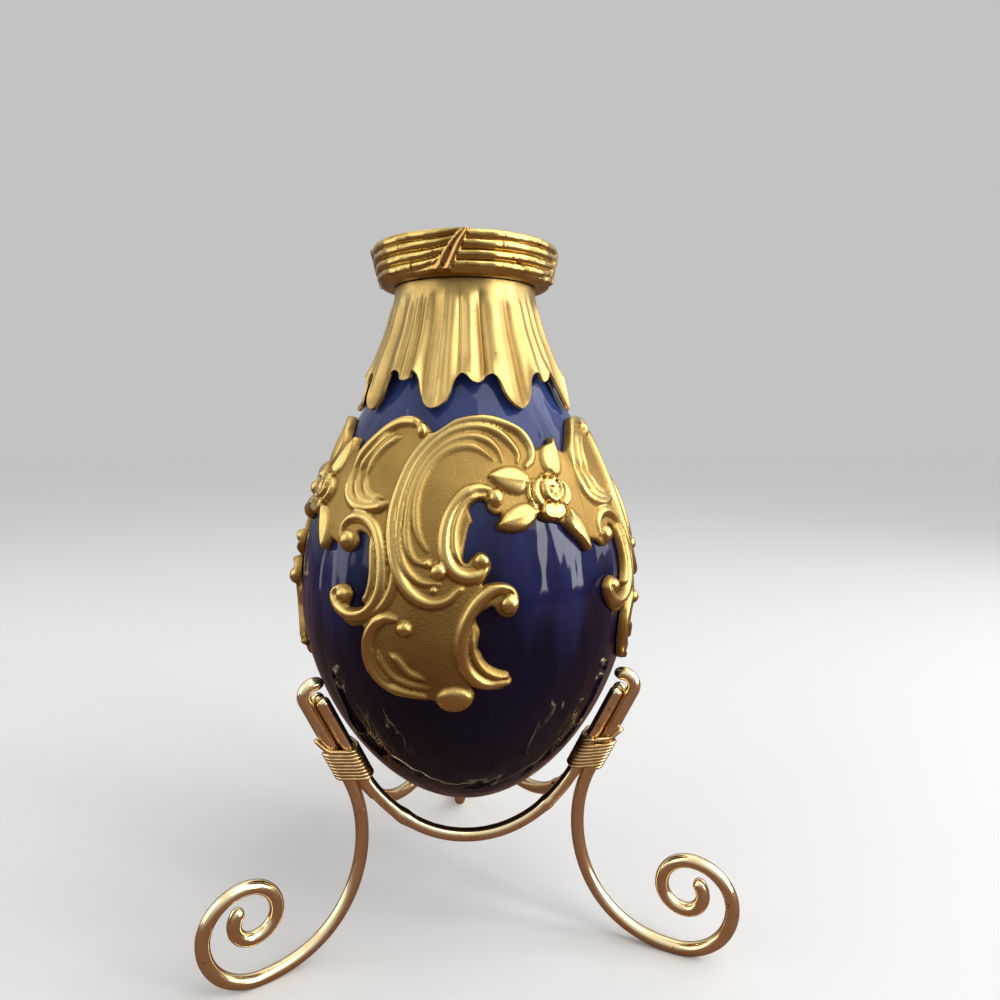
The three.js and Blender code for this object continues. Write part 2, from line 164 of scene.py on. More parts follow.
def set_bump(tree, shader, height, strength, distance):
    inputs = {"Height": height, "Strength": strength, "Distance": distance}
    bump = add_node(tree, "ShaderNodeBump", inputs)
    tree.links.new(bump.outputs["Normal"], shader.inputs["Normal"])


egg_low = (0, egg_bottom)
egg_belly = (belly_radius, belly_height)
egg_neck = (neck_radius, neck_height)
egg_lower = bezier([egg_low, (bottom_pull, egg_bottom), (belly_radius, belly_pull_low), egg_belly], count=80)
egg_upper = bezier(
    [egg_belly, (belly_radius, belly_pull_high), (neck_radius, neck_pull), egg_neck], count=72
)
egg_line = np.vstack([egg_lower, egg_upper[1:], [(neck_radius, lip_height)]])
egg_slope = np.gradient(egg_line, axis=0)
egg_slope /= np.linalg.norm(egg_slope, axis=1)[:, None]
egg_normal = np.column_stack([egg_slope[:, 1], -egg_slope[:, 0]])

lip_turns = np.linspace(0, math.pi, 9)[1:-1]
lip_line = np.column_stack([
    neck_radius - lip_radius + lip_radius * np.cos(lip_turns),
    lip_height + lip_radius * np.sin(lip_turns),
])
inside = egg_line - glass_wall * egg_normal
inside[0, 0] = 0
glass_bm = spun(np.vstack([egg_line, lip_line, inside[::-1]]), steps=160)

# The colour is painted blue at the shoulder as light shining through and deepens to near black at the foot as
# painted shade and a painted dark reflection; long faint streaks from the blowing ripple the surface, vary
# its roughness and lighten the colour as painted reflection
glass, tree, shader = new_material("cobalt glass")
spot = add_node(tree, "ShaderNodeTexCoord", {}).outputs["Object"]
height = add_node(tree, "ShaderNodeSeparateXYZ", {"Vector": spot}).outputs["Z"]
wavy = add_node(tree, "ShaderNodeMapping", {"Vector": spot, "Scale": (70, 70, 14)}).outputs["Vector"]
streaks_and_painted_sheen = add_noise(tree, wavy, scale=1, detail=3)
painted_shade_level = add_range(tree, height, 0, 1, from_min=0.035, from_max=0.165)
painted_sheen_drift = add_math(tree, "SUBTRACT", streaks_and_painted_sheen, 0.5)
painted_shade_level = add_math(tree, "MULTIPLY_ADD", painted_sheen_drift, 0.7, painted_shade_level, clamp=True)
painted_light_tint = add_ramp(
    tree,
    painted_shade_level,
    [
        (0.0, (0.0005, 0.0003, 0.0015)),
        (0.4, (0.003, 0.002, 0.011)),
        (0.58, (0.011, 0.013, 0.06)),
        (1, (0.032, 0.056, 0.185)),
    ],
)
set_finish(tree, shader, painted_light_tint, add_range(tree, streaks_and_painted_sheen, 0.03, 0.12), metallic=0)
shader.inputs["IOR"].default_value = 1.52
shader.inputs["Specular IOR Level"].default_value = 0.28
set_bump(tree, shader, add_noise(tree, wavy, scale=1.5, detail=2), strength=0.75, distance=0.0014)
make_piece(glass_bm, "Glass_egg", place_vase, glass, "vase", "glass_egg")


# Girdle panels
# Four like stampings of thin gilt sheet that make a girdle of scrolls and roses round the belly.
# The ground is matted and the crests of the scrolls are burnished, the crests' lighter colour partly a
# painted highlight and the ground's darker one partly painted shade; they are cemented to the glass.

# Outline of a panel along its top from left to right, and back along its bottom
panel_top = [
    (-44.95, 131), (-43.2, 131.6), (-40, 133.6), (-37, 135.4), (-33, 137.6), (-29, 139), (-25, 139.6),
    (-21, 139.6), (-17.5, 138.9), (-14.5, 137.7), (-12.3, 136.4), (-11.4, 135.5), (-9.5, 135.6),
    (-6, 137), (-2, 138.5), (2, 139.2), (6, 139.6), (10.5, 139.8), (15, 139.4), (20, 138.4), (25, 136.9),
    (28.3, 135.2), (30, 133.2), (31, 131.7), (34, 132.5), (38.3, 133.2), (39.5, 134.6), (40.7, 133.8),
    (41.6, 132), (44.95, 131),
]
panel_bottom = [
    (44.95, 110.5), (44.4, 109.4), (43, 107.6), (40, 110.2), (37, 112.5), (34.5, 114.6), (32, 115.2),
    (29, 115.4), (27, 116), (25.6, 116.7), (24, 115.3), (20.5, 113.6), (16, 113.4), (12.5, 114),
    (11.8, 115), (13.5, 117.4), (11.5, 117.5), (9.5, 118.6), (9, 120), (7.5, 120.6), (5.5, 120.2),
    (3.6, 119), (3.8, 117.8), (4.5, 116.2), (3.4, 114.8), (2.4, 112), (1.7, 109), (1.8, 107.6),
    (2.8, 107.2), (4.2, 108.4), (6, 109.5), (8, 109.2), (9.4, 107.8), (9.6, 105.8), (8.4, 104.2),
    (7, 102.4), (8, 102.6), (11, 102.9), (14, 102.6), (16.3, 101.4), (17.5, 99.5), (17.3, 97), (16, 95.3),
    (14, 94.9), (12, 95.5), (10.6, 96.8), (10, 97.5), (8.5, 97.2), (7, 96.5), (5.3, 95.3), (5.3, 94),
    (6.3, 92), (5.6, 88.6), (6.6, 87), (7.6, 85.3), (9.8, 83.7), (12.5, 82.7), (14.5, 82.2), (15.3, 81),
    (16, 80), (14.5, 78.9), (12, 77.9), (9, 78.1), (6, 78.6), (4, 79), (4.8, 77.3), (4.6, 75.8),
    (3.5, 74.5), (1, 73.3), (-2, 72.8), (-5, 73.3), (-6.5, 74.5), (-7.3, 75.1), (-9, 75.3), (-13, 75.6),
    (-17, 76), (-20, 76.8), (-23.5, 78.3), (-26.5, 80.5), (-28.3, 83), (-29, 86), (-28.9, 89),
    (-28.3, 91), (-29, 92), (-32, 91.4), (-35, 92), (-38, 93.8), (-40, 96), (-41, 98.5), (-40, 100),
    (-38, 100.9), (-36, 101), (-34, 100.3), (-32.8, 98.8), (-33.5, 97.3), (-34, 96), (-31, 96),
    (-28, 96.8), (-29, 98.3), (-28.3, 99.5), (-27.3, 101.5), (-26.9, 104), (-27.3, 107), (-27.8, 109),
    (-28.3, 111), (-29.5, 112.3), (-31.5, 112.9), (-33, 112.6), (-32.3, 111), (-33, 109.5), (-35, 108.4),
    (-37.5, 108.2), (-39.5, 108.8), (-41.5, 109.8), (-44.95, 110.5),
]
# Crests of the scrolls: points, half width and height of the ridge
panel_crests = [
    ([(-43, 127), (-41.5, 130.5), (-37.5, 133.8), (-32, 136.6), (-26, 138.2), (-20, 138.2),
      (-16, 136.8)], 1.4, 1.3),
    ([(-39.3, 126.5), (-38, 129), (-35.5, 131.3), (-32.5, 133.6), (-29, 135)], 1.1, 1.1),
    ([(-35.3, 125.5), (-34.2, 129), (-31.5, 131.8), (-28, 133.6), (-25, 134.4)], 1, 0.9),
    ([(-43, 127), (-42.5, 123), (-40.5, 120.5), (-36, 118.7), (-31, 118.3), (-26, 118.8),
      (-23.3, 119.6)], 1.3, 1.2),
    ([(-39.3, 126.5), (-38, 122.8), (-34.8, 120.5), (-30, 119.6), (-27, 119.8)], 1, 1),
    ([(-35.3, 125.5), (-33.5, 122.6), (-30, 121), (-25.5, 120.6)], 0.9, 0.9),
    ([(-39.8, 111.5), (-39.5, 114), (-36.5, 115.9), (-32, 116.2), (-28, 115), (-25, 112.5), (-23, 108.5),
      (-22.3, 104), (-22.8, 100), (-25.3, 96.6), (-29.5, 94.6), (-34, 94.4), (-38, 95.8), (-39.8, 98.3),
      (-38.3, 100), (-36.2, 99.6)], 1.3, 1.3),
    ([(-20.3, 110), (-18.4, 105), (-19.2, 100.5), (-22.5, 96.5), (-28, 94.4), (-34, 94.5)], 1, 1),
    ([(-27, 113), (-26, 108), (-25.5, 103), (-26.5, 99), (-28.5, 97.8)], 0.9, 0.9),
    ([(0.8, 101.5), (-3, 98.9), (-8, 98.3), (-13, 100.2), (-17, 104.3), (-19.5, 110), (-20.8, 116),
      (-20.3, 121.5), (-18, 128), (-13.5, 132.7), (-7, 136.2), (0, 138.2), (9, 138.8), (17, 138),
      (23.5, 136.6), (26.8, 134.4), (28.4, 131.6), (27.3, 129.2), (24.5, 127.7)], 1.4, 1.4),
    ([(-5.5, 102.6), (-10.5, 102.9), (-15, 105.8), (-17.6, 110.5), (-18.4, 116), (-18, 121.5), (-16, 127),
      (-12, 131.5), (-6, 134.9), (1, 136.6), (9, 136.9), (15.5, 135.7), (20, 133.2), (22.3, 130.6),
      (21.5, 128.6)], 1, 1),
    ([(-8.5, 106.6), (-12.5, 107.6), (-15, 111), (-15.9, 116), (-15.7, 121), (-14, 126), (-10.5, 130),
      (-5, 133), (1, 134.5), (7, 134.6), (12, 133.4), (15, 131.2), (15.8, 129)], 0.9, 0.8),
    ([(-9, 109.7), (-11.5, 112.5), (-13, 116), (-13.5, 120), (-12.8, 124), (-10.5, 127.8), (-6.5, 130.6),
      (-1.5, 132.2), (4, 132.5), (8, 131.6), (12.5, 129.5)], 0.9, 0.7),
    ([(10.5, 122.8), (6, 123), (1, 121.2), (-2.6, 117.5), (-4, 112.5), (-3.2, 108), (-0.5, 105),
      (3.5, 104), (7.2, 105), (8.6, 107.3)], 1.4, 1.3),
    ([(8.5, 121.5), (4, 120.8), (0.8, 118.3), (-1, 114), (-0.6, 109.5), (1.3, 107)], 0.9, 0.9),
    ([(16.3, 99.5), (15, 101.5), (11.5, 101.7), (7.5, 100), (4, 96.8), (1.8, 92.5), (1.2, 88), (2.2, 84),
      (5, 81), (9, 79.6), (14.5, 80)], 1.4, 1.3),
    ([(4.2, 93.5), (4, 89.5), (5, 86), (7.5, 83.2), (11, 81.6), (14.3, 81.4)], 0.8, 0.8),
    ([(-17.5, 94.4), (-21, 94.5), (-24.5, 92.5), (-26.8, 89), (-27.3, 85), (-25.5, 81.3), (-22, 78.6),
      (-17, 77.3), (-10, 76.6)], 1.3, 1.3),
    ([(-25.8, 88), (-25.3, 84.5), (-23, 81.3), (-19.5, 79)], 0.7, 0.7),
    ([(-23.3, 86.5), (-22.5, 84), (-19.5, 81), (-15, 79.5), (-9, 78.7)], 0.8, 0.7),
    ([(-19.3, 86.2), (-17.2, 85), (-14.5, 82.5), (-9.8, 80.8)], 0.8, 0.8),
]
# Balls at the ends of the scrolls: place, radius across, height
panel_balls = [
    (-15.5, 136.2, 1.9, 1.7), (-36.5, 111, 2.1, 1.8), (-36, 98.6, 1.7, 1.6), (12.2, 121, 2, 1.7),
    (7, 107.6, 1.9, 1.7), (14.6, 98, 2.2, 1.9), (-15, 92.4, 1.8, 1.6), (-5.2, 105.3, 1.9, 1.8),
    (-8.6, 106.9, 1, 1), (-6.6, 101.2, 0.8, 0.8),
]
# Leaves round the rose: root, tip, width
panel_leaves = [
    ((25, 124), (10.2, 125.7), 6.4), ((26.3, 117.8), (11.8, 115), 5.8),
    ((33.6, 125.4), (39.7, 134.4), 7.2), ((37, 117.6), (43.1, 108), 5.4),
]
# Petals of the rose from the lowest to the bud: place beside its middle, half width, half height, rise
rose_place = (32.2, 121.6)
rose_petals = [
    (-4, 0, 3.3, 3.5, 0.7), (-0.6, 2.3, 2.8, 2.2, 0.9), (-2.6, -0.1, 3.1, 3.5, 1.1),
    (2.1, -0.4, 3.5, 3.3, 1.25), (-0.8, -4.2, 3.4, 2, 1.3), (0, 0.5, 3.1, 3, 1.6),
]

panel_count = 4
millimetres_per_degree = 0.77
panel_grain = 0.34
cement_gap = 0.3
edge_lift = 0.45
sheet_height = 0.85
edge_rounding = 0.75
edge_fade = 0.6
rim_half_width = 1.2
crest_taper = 6
leaf_rise = 1.35
leaf_widest = 0.431
vein_rise = 0.3
vein_half_width = 0.45
petal_curl = 0.5
petal_rim = 0.14
groove_depth = 0.6
groove_place = 1.08
groove_half_width = 0.1
bud_height = 0.5
bud_reach = 2.7
bud_coil = 1.8
bud_crease = 0.5
crease_half_width = 0.13
drop_place = (-1, 76)
drop_half_size = (4.4, 3.1)
drop_rise = 1.7


def flat_points(points):
    """Angles and heights laid out flat, as millimetres across and up."""
    return np.array(points, float) * (millimetres_per_degree, 1)


def smooth_line(points, steps):
    """A smooth line through all the points, with some steps from each to the next."""
    p = np.array(points, float)
    q = np.vstack([2 * p[:1] - p[1:2], p, 2 * p[-1:] - p[-2:-1]])
    t = np.linspace(0, 1, steps, endpoint=False)[:, None]
    line = []
    for a, b, c, d in zip(q, q[1:], q[2:], q[3:]):
        line.append(
            b + (c - a) * t / 2 + (a - 2.5 * b + 2 * c - d / 2) * t**2 + (1.5 * (b - c) + (d - a) / 2) * t**3
        )
    return np.vstack(line + [p[-1:]])


def line_distance(spots, line):
    """Distance of each spot from a line of points, and where along it (0 to 1) it is nearest."""
    best = np.full(len(spots), 1e9)
    along = np.zeros(len(spots))
    for i, (a, b) in enumerate(zip(line, line[1:])):
        step = b - a
        share = np.clip(((spots - a) @ step) / max(step @ step, 1e-9), 0, 1)
        gap = np.linalg.norm(spots - a - share[:, None] * step, axis=1)
        nearer = gap < best
        best[nearer] = gap[nearer]
        along[nearer] = (i + share[nearer]) / (len(line) - 1)
    return best, along


def panel_relief(spots, edges):
    """Height of the stamping above its ground at flat spots, and its rounding towards the free edges."""
    relief = np.zeros(len(spots))
    for points, half_width, crest in panel_crests:
        gap, along = line_distance(spots, smooth_line(flat_points(points), 5))
        swell = 0.5 + 0.5 * np.clip(np.minimum(along, 1 - along) * crest_taper, 0, 1)
        # The wide crests at the rims are full and round, the narrow ones between them slope off softly
        spread, power = (1.15, 0.7) if half_width > rim_half_width else (1.5, 1.5)
        across = gap / (half_width * swell * spread)
        relief = np.maximum(relief, crest * swell * np.clip(1 - across**2, 0, 1) ** power)
    for angle, tall, across, crest in panel_balls:
        gap = np.linalg.norm(spots - flat_points([(angle, tall)]), axis=1)
        relief = np.maximum(relief, crest * np.sqrt(np.clip(1 - (gap / across) ** 2, 0, 1)))
    for root, tip, width in panel_leaves:
        root, tip = flat_points([root, tip])
        length = np.linalg.norm(tip - root)
        run = (tip - root) / length
        share = (spots - root) @ run / length
        on_leaf = (share > 0) & (share < 1)
        share = np.clip(share, 0.001, 0.999)
        side = np.abs((spots - root) @ np.array([-run[1], run[0]]))
        half = width / 2 * np.sqrt(share) * (1 - share) ** 0.75 / leaf_widest
        blade = leaf_rise * np.clip(1 - (side / half) ** 2, 0, 1) ** 0.55
        vein = vein_rise * np.exp(-((side / vein_half_width) ** 2)) * (1 - share)
        relief = np.where(on_leaf & (side < half), np.maximum(relief, blade + vein), relief)
    # Each petal is a shallow cup with a raised rim, and a groove round it sets it off from those below
    rose = spots - flat_points([rose_place])
    for right, up, half_width, half_height, rise in rose_petals:
        gap = np.hypot((rose[:, 0] - right) / half_width, (rose[:, 1] - up) / half_height)
        cup = (rise + petal_curl * gap**2) * np.clip((1 - gap) / petal_rim, 0, 1) ** 0.5
        dip = groove_depth * np.exp(-(((gap - groove_place) / groove_half_width) ** 2))
        groove = np.maximum(relief - dip, np.minimum(relief, 0))
        relief = np.where(gap < 1, np.where(gap > 1 - petal_rim, np.maximum(relief, cup), cup), groove)
    bud = rose - (0, bud_height)
    reach = np.hypot(bud[:, 0], bud[:, 1])
    coil = reach / bud_coil - np.arctan2(bud[:, 1], bud[:, 0]) / (2 * math.pi)
    crease = np.exp(-((np.abs(coil - np.round(coil)) / crease_half_width) ** 2))
    relief -= np.where(reach < bud_reach, bud_crease * crease, 0)
    drop = (spots - flat_points([drop_place])) / drop_half_size
    drop_share = np.clip(1 - (drop**2).sum(axis=1), 0, 1)
    relief = np.maximum(relief, drop_rise * np.sqrt(drop_share))
    to_edge = np.minimum(*(line_distance(spots, edge)[0] for edge in edges))
    rounding = np.sqrt(1 - (1 - np.clip(to_edge / edge_rounding, 0, 1)) ** 2)
    return relief * np.clip(to_edge / edge_fade, 0, 1) ** 0.5, rounding


def on_egg(angles, heights, lift):
    """Places lifted square off the outside of the glass."""
    radius = np.interp(heights, egg_line[:, 1], egg_line[:, 0])
    outwards = np.interp(heights, egg_line[:, 1], egg_normal[:, 0])
    upwards = np.interp(heights, egg_line[:, 1], egg_normal[:, 1])
    reach = radius + outwards * lift
    turn = np.radians(angles)
    return np.column_stack([reach * np.sin(turn), -reach * np.cos(turn), heights + upwards * lift])


# The flat outline is cut into a fine grid, given a back and a front, and bent round the egg
panel_edges = [smooth_line(flat_points(points), 4) for points in (panel_top, panel_bottom)]
panel_edge = np.vstack(panel_edges)
panel_bm = bmesh.new()
burnish_and_painted_light = panel_bm.verts.layers.float.new("burnish_and_painted_light")
panel_bm.faces.new([panel_bm.verts.new((across, tall, 0)) for across, tall in panel_edge])
for axis in (0, 1):
    normal = Vector((1 - axis, axis, 0))
    for cut in np.arange(panel_edge[:, axis].min() + 0.1, panel_edge[:, axis].max(), panel_grain):
        bmesh.ops.bisect_plane(
            panel_bm,
            geom=panel_bm.verts[:] + panel_bm.edges[:] + panel_bm.faces[:],
            dist=1e-5,
            plane_co=normal * float(cut),
            plane_no=normal,
        )
raised = bmesh.ops.extrude_face_region(panel_bm, geom=panel_bm.faces[:], use_keep_orig=True)["geom"]
raised = {item for item in raised if isinstance(item, bmesh.types.BMVert)}
panel_verts = list(panel_bm.verts)
is_top = np.array([vert in raised for vert in panel_verts])
spots = np.array([vert.co[:2] for vert in panel_verts])
relief, rounding = panel_relief(spots, panel_edges)
lift = np.where(is_top, edge_lift + sheet_height * rounding + relief, cement_gap)
places = on_egg(spots[:, 0] / millimetres_per_degree, spots[:, 1], lift)
# The relief height is kept on each point for the finish, where it sets the burnish and a painted highlight on
# the crests
for vert, place, value in zip(panel_verts, places, relief):
    vert.co = place
    vert[burnish_and_painted_light] = value
bmesh.ops.recalc_face_normals(panel_bm, faces=panel_bm.faces)

stamped, tree, shader = new_material("matted and burnished gilt")
spot = add_node(tree, "ShaderNodeTexCoord", {}).outputs["Object"]
crest = add_node(tree, "ShaderNodeAttribute", {}, attribute_name="burnish_and_painted_light").outputs["Fac"]
polish_and_painted_light = add_range(tree, crest, 0, 1, from_min=0.2, from_max=1)
grain = add_noise(tree, spot, scale=2600, detail=2)
cloud = add_noise(tree, spot, scale=90, detail=4)
# Painted light: the colour runs from the darker ground to the lighter crests with the relief height, partly
# the real burnish and partly painted shade and painted highlight
ground = add_ramp(tree, cloud, [(0.3, (0.28, 0.17, 0.046)), (0.7, (0.4, 0.255, 0.075))])
burnished_and_painted_highlight = add_ramp(tree, cloud, [(0.3, (0.56, 0.385, 0.125)), (0.7, (0.7, 0.5, 0.175))])
matt = add_math(tree, "MULTIPLY_ADD", grain, 0.12, add_range(tree, polish_and_painted_light, 0.45, 0.21))
set_finish(tree, shader, add_mix(tree, polish_and_painted_light, ground, burnished_and_painted_highlight), matt)
set_bump(tree, shader, grain, strength=add_range(tree, polish_and_painted_light, 0.7, 0.08), distance=0.0002)
for number in range(panel_count):
    turned = place_vase @ Matrix.Rotation(math.radians(360 / panel_count * number), 4, "Z")
    node = f"overlay_{number + 1}"
    make_piece(
        panel_bm.copy(), f"Girdle_panel_{number + 1}", turned, stamped, "vase", node, crease=65
    )
panel_bm.free()


# Neck collar
# A cuff of the same thin gilt sheet, pressed by hand in soft uneven folds like drapery, with a wavy hem of
# nine long rounded lobes and shallow ones between. It is cemented to the neck, its top under the ring.

# Height and radius of the smooth cuff under its folds
collar_radii = np.array([
    (139, 31.6), (142, 30), (145, 28.3), (149, 26.5), (152, 25.4), (155, 24.3), (158, 23.1), (161, 21.9),
    (164, 20.9), (167, 20.1), (170, 19.4), (173, 19.1), (175, 19.05),
])
# Hem of half a long lobe and half a short one: degrees from the long lobe's middle, height
collar_hem = [
    (0, 142.1), (2, 142.35), (3.9, 143), (5.7, 144), (7.6, 146), (8.7, 148), (10.2, 150), (12.5, 151.1),
    (15, 150.6), (17.5, 149.2), (20, 148.7),
]
# Folds in a third of the cuff: middle, half width and height; hollows have a height below nought
collar_folds = [
    (-66, 3, 0.5), (-58, 2.8, 0.6), (-50, 3, -0.4), (-42, 2.8, 0.7), (-38, 2.4, -0.4), (-34, 2.1, 0.5),
    (-30, 2.3, -0.6), (-26, 2.6, 0.7), (-20, 3, -0.5), (-12.5, 2.2, 0.5), (-6.5, 3, 0.4),
    (-1.5, 1.7, -0.5), (5.5, 4, 0.8), (13.2, 2.8, -1), (22, 5, 0.7), (26, 2, 0.25), (34, 3.4, -0.8),
    (45, 3.6, 0.8),
]

collar_top = 174.4
collar_sheet = 0.7
lobe_pitch = 40
first_lobe = -11.3
lobe_sway = 1.9
hem_low = 142
hem_sway = 0.07
hem_roll = 0.2
roll_height = 0.7
hem_flare = 0.6
flare_place = 13
flare_half_width = 4
flare_height = 3
fold_period = 120
fold_top = 173
fold_strength = 1.2
glass_clearance = 1.1


def hem_height(angles):
    """Height of the wavy hem, and how far each angle is from the middle of its long lobe."""
    shifted = angles + lobe_sway * np.sin(np.radians(3 * (10 - angles))) - first_lobe
    share = (shifted + lobe_pitch / 2) % lobe_pitch - lobe_pitch / 2
    line = smooth_line(collar_hem, 6)
    hem = np.interp(np.abs(share), line[:, 0], line[:, 1])
    return hem - hem_sway * (hem - hem_low) * np.cos(np.radians(3 * (angles - 12))), share


def eased(share):
    """A share from 0 to 1 that starts and ends gently."""
    return share * share * (3 - 2 * share)


collar_bm = bmesh.new()
burnish_and_painted_light = collar_bm.verts.layers.float.new("burnish_and_painted_light")
bmesh.ops.create_grid(collar_bm, x_segments=720, y_segments=54, size=1)
collar_verts = list(collar_bm.verts)
grid = np.array([vert.co[:2] for vert in collar_verts])
angles = 180 * grid[:, 0]
row = (1 - grid[:, 1]) / 2
hem, share = hem_height(angles)
tall = collar_top + row * (hem - collar_top)
fold = np.zeros(len(angles))
for middle, width, amount in collar_folds:
    off = (angles - middle + fold_period / 2) % fold_period - fold_period / 2
    fold += amount * np.exp(-np.abs(off / width) ** 1.8)
# The folds start under the ring and deepen towards the hem, which is rolled over and flares between lobes
depth = eased(np.clip((fold_top - tall) / 6, 0, 1)) * (0.6 + 0.4 * np.clip((fold_top - tall) / 22, 0, 1.3))
above_hem = tall - hem
roll = np.exp(-((above_hem / roll_height) ** 2))
flare = np.exp(-(((np.abs(share) - flare_place) / flare_half_width) ** 2))
flare = flare * np.exp(-((above_hem / flare_height) ** 2))
reach = np.interp(tall, collar_radii[:, 0], collar_radii[:, 1])
reach = reach + fold_strength * fold * depth + hem_roll * roll + hem_flare * flare
glass_reach = np.interp(tall, egg_line[:, 1], egg_line[:, 0])
reach = np.maximum(reach, glass_reach + glass_clearance)
turn = np.radians(angles)
places = np.column_stack([reach * np.sin(turn), -reach * np.cos(turn), tall])
# The shine is low in the fold hollows and high on the rolled hem; besides the roughness it sets a painted
# shade in the hollows and a painted highlight on the roll
fold_shine_and_painted_shade = np.clip(0.5 + 0.5 * fold * depth + 0.3 * roll, 0, 1)
for vert, place, value in zip(collar_verts, places, fold_shine_and_painted_shade):
    vert.co = place
    vert[burnish_and_painted_light] = value
bmesh.ops.remove_doubles(collar_bm, verts=collar_bm.verts, dist=1e-4)
bmesh.ops.recalc_face_normals(collar_bm, faces=collar_bm.faces)
bmesh.ops.solidify(collar_bm, geom=collar_bm.faces[:], thickness=collar_sheet)
bmesh.ops.recalc_face_normals(collar_bm, faces=collar_bm.faces)

draped, tree, shader = new_material("satin gilt")
spot = add_node(tree, "ShaderNodeTexCoord", {}).outputs["Object"]
crest = add_node(tree, "ShaderNodeAttribute", {}, attribute_name="burnish_and_painted_light").outputs["Fac"]
grain = add_noise(tree, spot, scale=2200, detail=2)
cloud = add_noise(tree, spot, scale=110, detail=4)
ground = add_ramp(tree, cloud, [(0.3, (0.52, 0.355, 0.12)), (0.7, (0.64, 0.45, 0.165))])
# Painted shade: the colour is darkened in the fold hollows, and left full on the crests and the rolled hem
painted_hollow_shade = add_ramp(tree, crest, [(0.1, (0.42, 0.36, 0.28)), (0.5, (0.9, 0.9, 0.9)), (0.9, (1, 1, 1))])
tone = add_mix(tree, 1.0, ground, painted_hollow_shade, blend="MULTIPLY")
specks = add_noise(tree, spot, scale=900, detail=1)
speck = add_ramp(tree, specks, [(0.74, (1, 1, 1)), (0.8, (0.45, 0.33, 0.22))])
tone = add_mix(tree, 1.0, tone, speck, blend="MULTIPLY")
matt = add_math(tree, "MULTIPLY_ADD", grain, 0.1, add_range(tree, crest, 0.36, 0.24))
set_finish(tree, shader, tone, matt)
set_bump(tree, shader, grain, strength=0.15, distance=0.0002)
make_piece(collar_bm, "Neck_collar", place_vase, draped, "vase", "neck_collar", crease=60)


# Rim ring
# A cast gilt ring of four reeds, each a little wider than the one below, crossed by ribbon ties that fan out
# downwards. It slips over the mouth of the glass and is cemented there; its edges are rubbed and pitted.
reed_heights = (176.9, 179.3, 181.7, 183.9)
reed_radii = (23.6, 24.1, 24.6, 24.9)
reed_half = 1.2
reed_depth = 0.95
reed_bend = 0.9
ring_bore = 17.7
ring_bottom = 174.7
ribbon_pitch = 90
first_ribbon = -9
tie_bottom = 176
tie_height = 8.6
tie_left = -13
tie_left_lean = 20
tie_right = 4
tie_right_lean = 10
tie_fold = 0.13
tie_melt = 0.3
tie_cut = 0.07

reeds = []
for middle, radius in zip(reed_heights, reed_radii):
    last = middle == reed_heights[-1]
    for t in np.linspace(-0.96, 0.9 if last else 0.96, 12):
        reeds.append((radius - reed_depth * (1 - math.sqrt(1 - t * t)), middle + reed_half * t))
ring_foot = [(ring_bore, ring_bottom), (19.5, 174.62), (21.4, 174.62), (22.3, 174.8), (22.8, 175.15)]
ring_top = [(23.6, 185), (22.6, 184.85), (21, 184.6), (19.4, 184.6), (18.5, 184.75), (18, 184.5)]
ring_inside = [(ring_bore, 183.9), (ring_bore, 179.5), (ring_bore, ring_bottom)]
ring_bm = spun(ring_foot + reeds + ring_top + ring_inside, steps=720)
reeds = np.array(reeds)
ribbon = ring_bm.verts.layers.float.new("ribbon")
ring_verts = list(ring_bm.verts)
ring_co = np.array([vert.co for vert in ring_verts])
ring_reach = np.hypot(ring_co[:, 0], ring_co[:, 1])
ring_tall = ring_co[:, 2]
ring_angle = np.degrees(np.arctan2(ring_co[:, 0], -ring_co[:, 1]))
beside = (ring_angle - first_ribbon + ribbon_pitch / 2) % ribbon_pitch - ribbon_pitch / 2
# A tie leans to the right as it rises and narrows; its left edge melts into the reeds, its right one is cut
rise = np.clip((ring_tall - tie_bottom) / tie_height, 0, 1)
left_edge = tie_left + tie_left_lean * rise
right_edge = tie_right + tie_right_lean * rise
across = (beside - left_edge) / (right_edge - left_edge)
soft = np.clip(across / tie_melt, 0, 1)
sharp = np.clip((1 - across) / tie_cut, 0, 1)
across = np.clip(across, 0, 1)
tie = eased(soft) * sharp
# The reeds are drawn up where they run under a tie, and the tie has folds and a raised lip
bent = reed_bend * np.exp(np.minimum(beside - left_edge, 0) / 6) * (beside < right_edge)
reed_reach = np.interp(ring_tall - bent, reeds[:, 1], reeds[:, 0])
waves = 2.6 * across**0.8 + 0.15 * np.sin(ring_tall * 0.7)
fold = tie_fold * np.sin(2 * math.pi * waves) * (1 - 0.5 * rise)
tie_lip = 0.22 * np.exp(-(((across - 0.85) / 0.13) ** 2))
tie_lip = tie_lip + 0.25 * np.exp(-(((across - 0.7) / 0.3) ** 2)) * rise**3
ribbon_reach = np.interp(ring_tall, reed_heights, reed_radii) - 0.05 + 0.2 * across + fold + tie_lip
dents = 0.05 * np.sin(ring_angle * 0.23 + ring_tall) + 0.04 * np.sin(ring_angle * 0.61 + 2)
outer = (ring_reach > 22.3) & (ring_tall < 184.99) & (ring_tall > 175.5)
wanted = np.where(outer, reed_reach + tie * (ribbon_reach - reed_reach) + dents, ring_reach)
for vert, ratio, value in zip(ring_verts, wanted / ring_reach, tie * outer):
    vert.co.x *= ratio
    vert.co.y *= ratio
    vert[ribbon] = value

